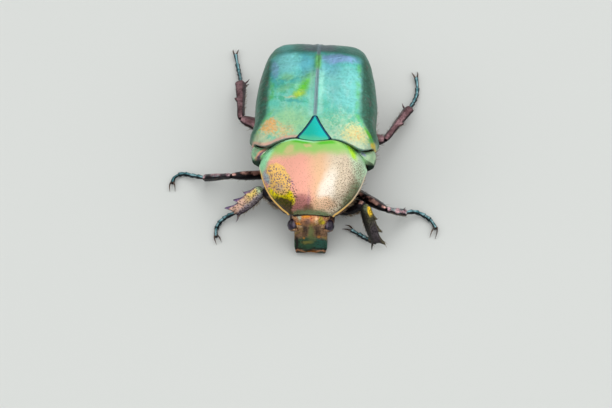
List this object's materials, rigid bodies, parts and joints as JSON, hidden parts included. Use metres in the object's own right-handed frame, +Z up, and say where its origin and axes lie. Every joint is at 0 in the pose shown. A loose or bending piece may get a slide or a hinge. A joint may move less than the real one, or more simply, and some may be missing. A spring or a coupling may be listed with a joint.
{
  "type": "rose chafer",
  "caption": "Still life-size rose chafer with domed metallic wing cases, a broad pronotum, a lowered head and spread toothed legs.",
  "frame": {"origin": "bottom centre of the bounding box, on the floor the feet stand on", "axes": "+Z up from the floor, -Y the way the head points, +X to the animal's left"},
  "size_m": [0.0222, 0.0218, 0.0078],
  "materials": {
    "pronotum_copper": "gloss",
    "elytra_green": "gloss",
    "scutellum_teal": "gloss",
    "side_green": "gloss",
    "under_bronze": "satin",
    "head_bronze": "gloss",
    "eye_black": "gloss",
    "mouth_amber": "satin",
    "feeler_dark": "satin",
    "leg_bronze": "gloss"
  },
  "bodies": {
    "root": {"abdomen": "under_bronze", "antenna_left": "feeler_dark", "antenna_right": "feeler_dark", "elytron_left": "elytra_green", "elytron_right": "elytra_green", "eye_left": "eye_black", "eye_right": "eye_black", "fore_left_coxa": "under_bronze", "fore_left_femur": "leg_bronze", "fore_left_tarsus": "leg_bronze", "fore_left_tibia": "leg_bronze", "fore_right_coxa": "under_bronze", "fore_right_femur": "leg_bronze", "fore_right_tarsus": "leg_bronze", "fore_right_tibia": "leg_bronze", "head": "head_bronze", "hind_left_coxa": "under_bronze", "hind_left_femur": "leg_bronze", "hind_left_tarsus": "leg_bronze", "hind_left_tibia": "leg_bronze", "hind_right_coxa": "under_bronze", "hind_right_femur": "leg_bronze", "hind_right_tarsus": "leg_bronze", "hind_right_tibia": "leg_bronze", "mesepimeron_left": "side_green", "mesepimeron_right": "side_green", "mid_left_coxa": "under_bronze", "mid_left_femur": "leg_bronze", "mid_left_tarsus": "leg_bronze", "mid_left_tibia": "leg_bronze", "mid_right_coxa": "under_bronze", "mid_right_femur": "leg_bronze", "mid_right_tarsus": "leg_bronze", "mid_right_tibia": "leg_bronze", "mouthparts": "mouth_amber", "pronotum": "pronotum_copper", "prothorax": "under_bronze", "pygidium": "side_green", "scutellum": "scutellum_teal", "thorax": "under_bronze"}
  },
  "joints": []
}
